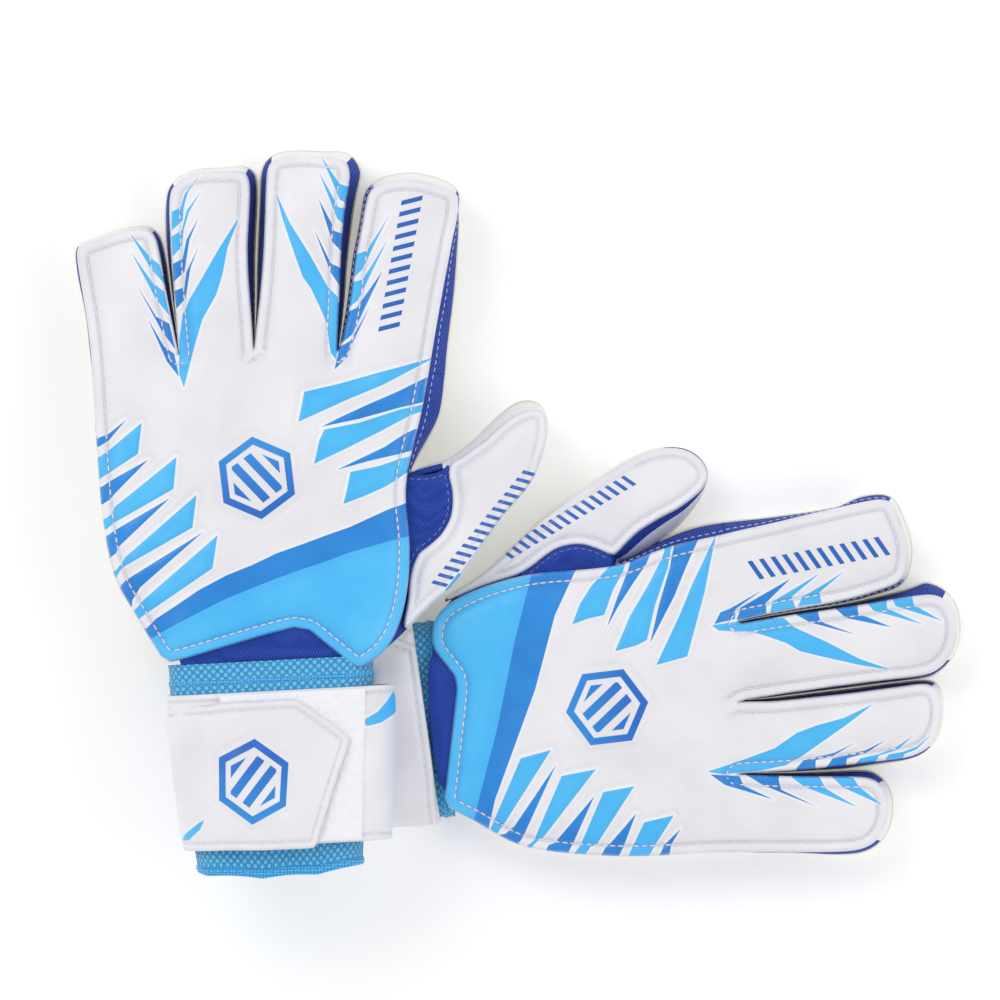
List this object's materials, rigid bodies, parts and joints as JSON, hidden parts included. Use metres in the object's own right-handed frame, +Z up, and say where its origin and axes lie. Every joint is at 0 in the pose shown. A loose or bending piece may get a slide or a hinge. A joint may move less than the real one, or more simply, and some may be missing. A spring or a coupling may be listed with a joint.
{
  "type": "goalkeeper gloves",
  "caption": "Pair of goalkeeper gloves lying palm down, one across the cuff of the other, with foam palms, padded backs, knitted cuffs and wrist straps.",
  "frame": {"origin": "centre of the pair's bounding box, on the floor that the right glove lies on", "axes": "+Z up off the floor, the right glove's fingers point to +X, the left glove's fingers point to +Y"},
  "size_m": [0.3152, 0.2574, 0.0659],
  "materials": {
    "palm_foam": "fine-grained matt foam latex",
    "back_foam": "satin coated synthetic leather with printed colour",
    "side_fabric": "royal blue ribbed stretch mesh",
    "knit": "sky blue knitted elastic with a raised dot",
    "binding": "folded woven tape",
    "strap": "satin coated synthetic leather",
    "loop_fleece": "brushed loop pile",
    "hook_tape": "moulded hook tape",
    "lining": "brushed knit lining"
  },
  "bodies": {
    "right_hand": {"right_palm_panel": "palm_foam", "right_backhand_panel": "back_foam", "right_thumb_side_gusset": "side_fabric", "right_little_side_gusset": "side_fabric", "right_palm_lining": "lining", "right_backhand_lining": "lining", "right_wrist_insert": "side_fabric", "right_cuff_bandage": "knit", "right_cuff_hem_binding": "binding", "right_strap_band": "strap", "right_strap_loop_pad": "loop_fleece", "right_strap_hook_pad": "hook_tape", "right_strap_flap": "strap"},
    "left_hand": {"left_palm_panel": "palm_foam", "left_backhand_panel": "back_foam", "left_thumb_side_gusset": "side_fabric", "left_little_side_gusset": "side_fabric", "left_palm_lining": "lining", "left_backhand_lining": "lining", "left_wrist_insert": "side_fabric", "left_cuff_bandage": "knit", "left_cuff_hem_binding": "binding", "left_strap_band": "strap", "left_strap_loop_pad": "loop_fleece"},
    "left_strap_flap": {"left_strap_flap": "strap", "left_strap_hook_pad": "hook_tape"},
    "right_little_finger": {"right_little_palm": "palm_foam", "right_little_back": "back_foam", "right_little_gusset": "side_fabric"},
    "right_ring_finger": {"right_ring_palm": "palm_foam", "right_ring_back": "back_foam", "right_ring_gusset": "side_fabric"},
    "right_middle_finger": {"right_middle_palm": "palm_foam", "right_middle_back": "back_foam", "right_middle_gusset": "side_fabric"},
    "right_index_finger": {"right_index_palm": "palm_foam", "right_index_back": "back_foam", "right_index_gusset": "side_fabric"},
    "right_thumb": {"right_thumb_palm": "palm_foam", "right_thumb_back": "back_foam", "right_thumb_gusset": "side_fabric"},
    "left_little_finger": {"left_little_palm": "palm_foam", "left_little_back": "back_foam", "left_little_gusset": "side_fabric"},
    "left_ring_finger": {"left_ring_palm": "palm_foam", "left_ring_back": "back_foam", "left_ring_gusset": "side_fabric"},
    "left_middle_finger": {"left_middle_palm": "palm_foam", "left_middle_back": "back_foam", "left_middle_gusset": "side_fabric"},
    "left_index_finger": {"left_index_palm": "palm_foam", "left_index_back": "back_foam", "left_index_gusset": "side_fabric"},
    "left_thumb": {"left_thumb_palm": "palm_foam", "left_thumb_back": "back_foam", "left_thumb_gusset": "side_fabric"}
  },
  "joints": [
    {"name": "left_glove_lift", "type": "slide", "parent": "right_hand", "child": "left_hand", "axis": [0, 0, 1], "range_m": [0, 0.12]},
    {"name": "right_little_finger_curl", "type": "hinge", "parent": "right_hand", "child": "right_little_finger", "pos_m": [0.07875, -0.1074, 0.0025], "axis": [0.0254, 0.9997, 0], "range_deg": [-15, 75]},
    {"name": "right_ring_finger_curl", "type": "hinge", "parent": "right_hand", "child": "right_ring_finger", "pos_m": [0.07995, -0.0802, 0.0025], "axis": [-0.0511, 0.9987, 0], "range_deg": [-15, 75]},
    {"name": "right_middle_finger_curl", "type": "hinge", "parent": "right_hand", "child": "right_middle_finger", "pos_m": [0.08135, -0.05275, 0.0025], "axis": [-0.1072, 0.9942, 0], "range_deg": [-15, 75]},
    {"name": "right_index_finger_curl", "type": "hinge", "parent": "right_hand", "child": "right_index_finger", "pos_m": [0.07695, -0.02265, 0.0025], "axis": [-0.137, 0.9906, 0], "range_deg": [-15, 75]},
    {"name": "right_thumb_fold", "type": "hinge", "parent": "right_hand", "child": "right_thumb", "pos_m": [0.0066, -0.02345, 0.0025], "axis": [-0.9782, -0.2075, 0], "range_deg": [-12, 60]},
    {"name": "left_little_finger_curl", "type": "hinge", "parent": "left_hand", "child": "left_little_finger", "pos_m": [-0.137, 0.0538, 0.0122], "axis": [-0.9701, -0.2409, 0.0301], "range_deg": [-15, 75]},
    {"name": "left_ring_finger_curl", "type": "hinge", "parent": "left_hand", "child": "left_ring_finger", "pos_m": [-0.10815, 0.05865, 0.01159], "axis": [-0.9984, -0.0557, 0.007], "range_deg": [-15, 75]},
    {"name": "left_middle_finger_curl", "type": "hinge", "parent": "left_hand", "child": "left_middle_finger", "pos_m": [-0.07965, 0.059, 0.01155], "axis": [-0.9989, 0.0468, -0.0058], "range_deg": [-15, 75]},
    {"name": "left_index_finger_curl", "type": "hinge", "parent": "left_hand", "child": "left_index_finger", "pos_m": [-0.0481, 0.05465, 0.01209], "axis": [-0.9718, 0.2341, -0.0293], "range_deg": [-15, 75]},
    {"name": "left_thumb_fold", "type": "hinge", "parent": "left_hand", "child": "left_thumb", "pos_m": [-0.0384, -0.013, 0.02055], "axis": [0.0072, 0.9923, -0.124], "range_deg": [-12, 36]},
    {"name": "left_strap_flap_open", "type": "hinge", "parent": "left_hand", "child": "left_strap_flap", "pos_m": [-0.12646, -0.09459, 0.06155], "axis": [0.0519, -0.9909, 0.1239], "range_deg": [0, 150]}
  ]
}
